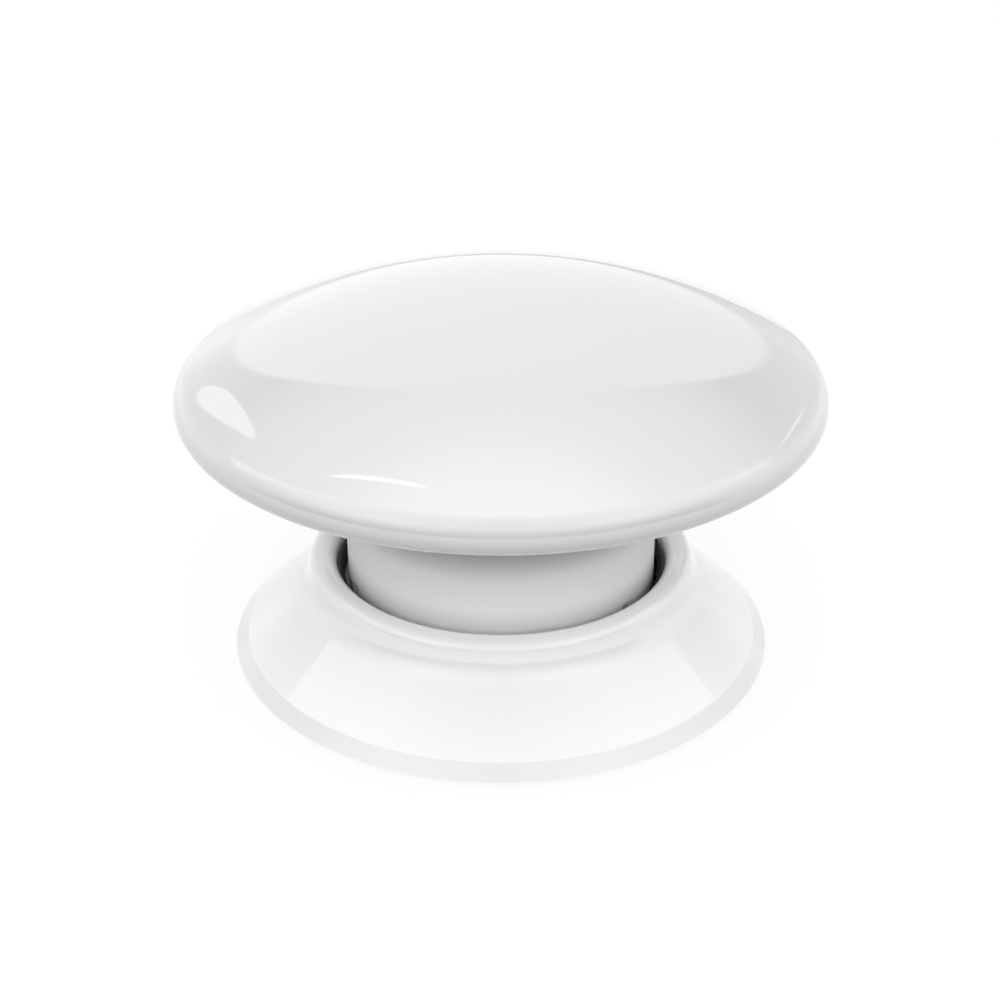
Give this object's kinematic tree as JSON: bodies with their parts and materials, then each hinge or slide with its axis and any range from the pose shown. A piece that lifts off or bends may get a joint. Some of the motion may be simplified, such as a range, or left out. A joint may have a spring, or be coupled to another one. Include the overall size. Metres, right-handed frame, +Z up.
{
  "type": "wireless push button",
  "caption": "Glossy white mushroom-shaped smart button: a lens-shaped cap on a straight neck that slides, sprung, into the rolled collar of a flared round base.",
  "frame": {"origin": "centre of the foam pad's underside, where the button stands on a table", "axes": "+Z up along the button's axis and against the press, +Y away from the viewer in the picture, +X to the viewer's right"},
  "size_m": [0.046, 0.046, 0.0273],
  "materials": {
    "gloss_white": "high gloss moulded",
    "satin_white": "satin moulded",
    "foam": "closed-cell foam",
    "screw_steel": "zinc plated",
    "dark_plastic": "fine moulded",
    "dark_rubber": "matte",
    "spring_steel": "drawn wire",
    "board_green": "solder mask",
    "cell_steel": "nickel plated",
    "contact_brass": "plated strip",
    "can_steel": "tinned",
    "chip_black": "moulded epoxy",
    "led_white": "clear lens",
    "ceramic_tan": "fired ceramic"
  },
  "bodies": {
    "base": {"base_shell": "gloss_white", "base_plate": "satin_white", "foot_pad": "foam", "base_screws": "screw_steel", "retaining_ring": "dark_plastic", "bumper_ring": "dark_rubber", "return_spring": "spring_steel"},
    "head": {"cap_dome": "gloss_white", "stem_shell": "satin_white", "circuit_board": "board_green", "board_screws": "screw_steel", "cell_holder": "dark_plastic", "coin_cell": "cell_steel", "contact_positive": "contact_brass", "contact_negative": "contact_brass", "radio_module": "can_steel", "microcontroller": "chip_black", "crystal": "can_steel", "antenna": "contact_brass", "status_led": "led_white", "capacitors": "ceramic_tan", "resistors": "chip_black", "switch_body": "dark_plastic", "switch_cover": "can_steel", "switch_leads": "spring_steel"},
    "plunger": {"switch_stem": "chip_black"}
  },
  "joints": [
    {"name": "press", "type": "slide", "parent": "base", "child": "head", "axis": [0, 0, -1], "range_m": [0, 0.0015], "stiffness_N_per_m": 1200, "springref_m": -0.0025, "deforming": ["return_spring"]},
    {"name": "switch_travel", "type": "slide", "parent": "head", "child": "plunger", "axis": [0, 0, 1], "range_m": [0, 0.0003]}
  ],
  "couplings": [
    {"joint": "switch_travel", "follows": "press", "ratio": 0.2}
  ]
}
